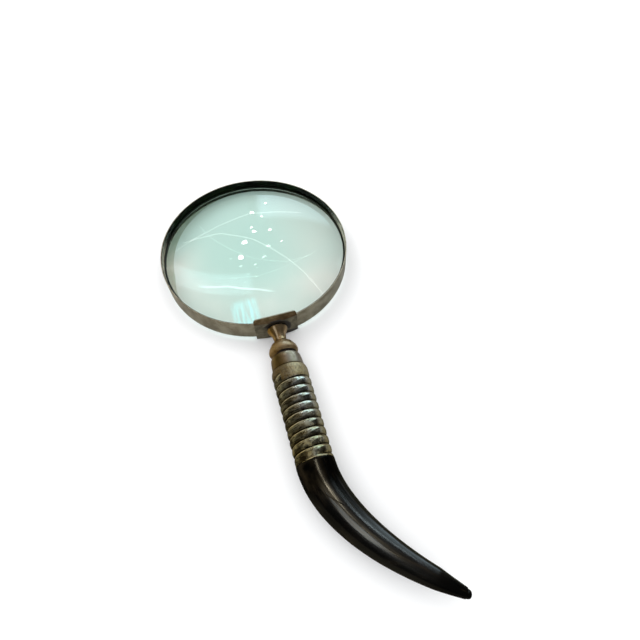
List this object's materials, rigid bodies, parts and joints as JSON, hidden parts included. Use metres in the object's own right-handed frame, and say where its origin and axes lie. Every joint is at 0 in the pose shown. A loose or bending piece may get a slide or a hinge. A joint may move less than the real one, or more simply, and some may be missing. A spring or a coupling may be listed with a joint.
{
  "type": "magnifying glass",
  "caption": "Hand magnifier: round double-convex lens in a brass rim, turned stem, spiral brass sleeve and curved horn grip that unscrews.",
  "frame": {"origin": "on the handle's axis, in the end cap's upper face where the handle screws up to the head, 69.75 mm from the lens centre; this is also the middle of the whole object, within 0.4 mm", "axes": "+Z along the lens's optical axis, up when it lies on a table; +Y from the handle towards the lens; the horn curves towards +X"},
  "size_m": [0.104, 0.2441, 0.018],
  "materials": {
    "rim_brass": "antiqued grey-brown, satin",
    "stem_bronze": "warm bronze, satin, hand-rubbed",
    "sleeve_brass": "olive patina, dark in the grooves, rubbed bright on the ribs",
    "lens_glass": "polished, faint green tint",
    "packing_card": "matte card strip",
    "stud_steel": "machined thread",
    "washer_leather": "dark, compressed",
    "plug_wood": "plain dowel",
    "horn_black": "polished natural horn, black with brown streaks"
  },
  "bodies": {
    "head": {"rim_band": "rim_brass", "lens": "lens_glass", "lens_packing": "packing_card", "lens_retaining_ring": "rim_brass", "lens_seat_ring": "rim_brass", "saddle": "rim_brass", "stem": "stem_bronze", "stem_stud": "stud_steel"},
    "washer": {"joint_washer": "washer_leather"},
    "handle": {"end_cap": "sleeve_brass", "threaded_bush": "sleeve_brass", "spiral_sleeve": "sleeve_brass", "sleeve_pin": "stem_bronze", "core_plug": "plug_wood", "horn_grip": "horn_black"}
  },
  "joints": [
    {"name": "thread_advance", "type": "slide", "parent": "head", "child": "washer", "axis": [0, -1, 0], "range_m": [0, 0.00762]},
    {"name": "handle_turn", "type": "hinge", "parent": "washer", "child": "handle", "pos_m": [0, 0, 0], "axis": [0, -1, 0], "range_deg": [0, 2160]}
  ],
  "couplings": [
    {"joint": "thread_advance", "follows": "handle_turn", "m_per_rad": 0.00020213}
  ]
}
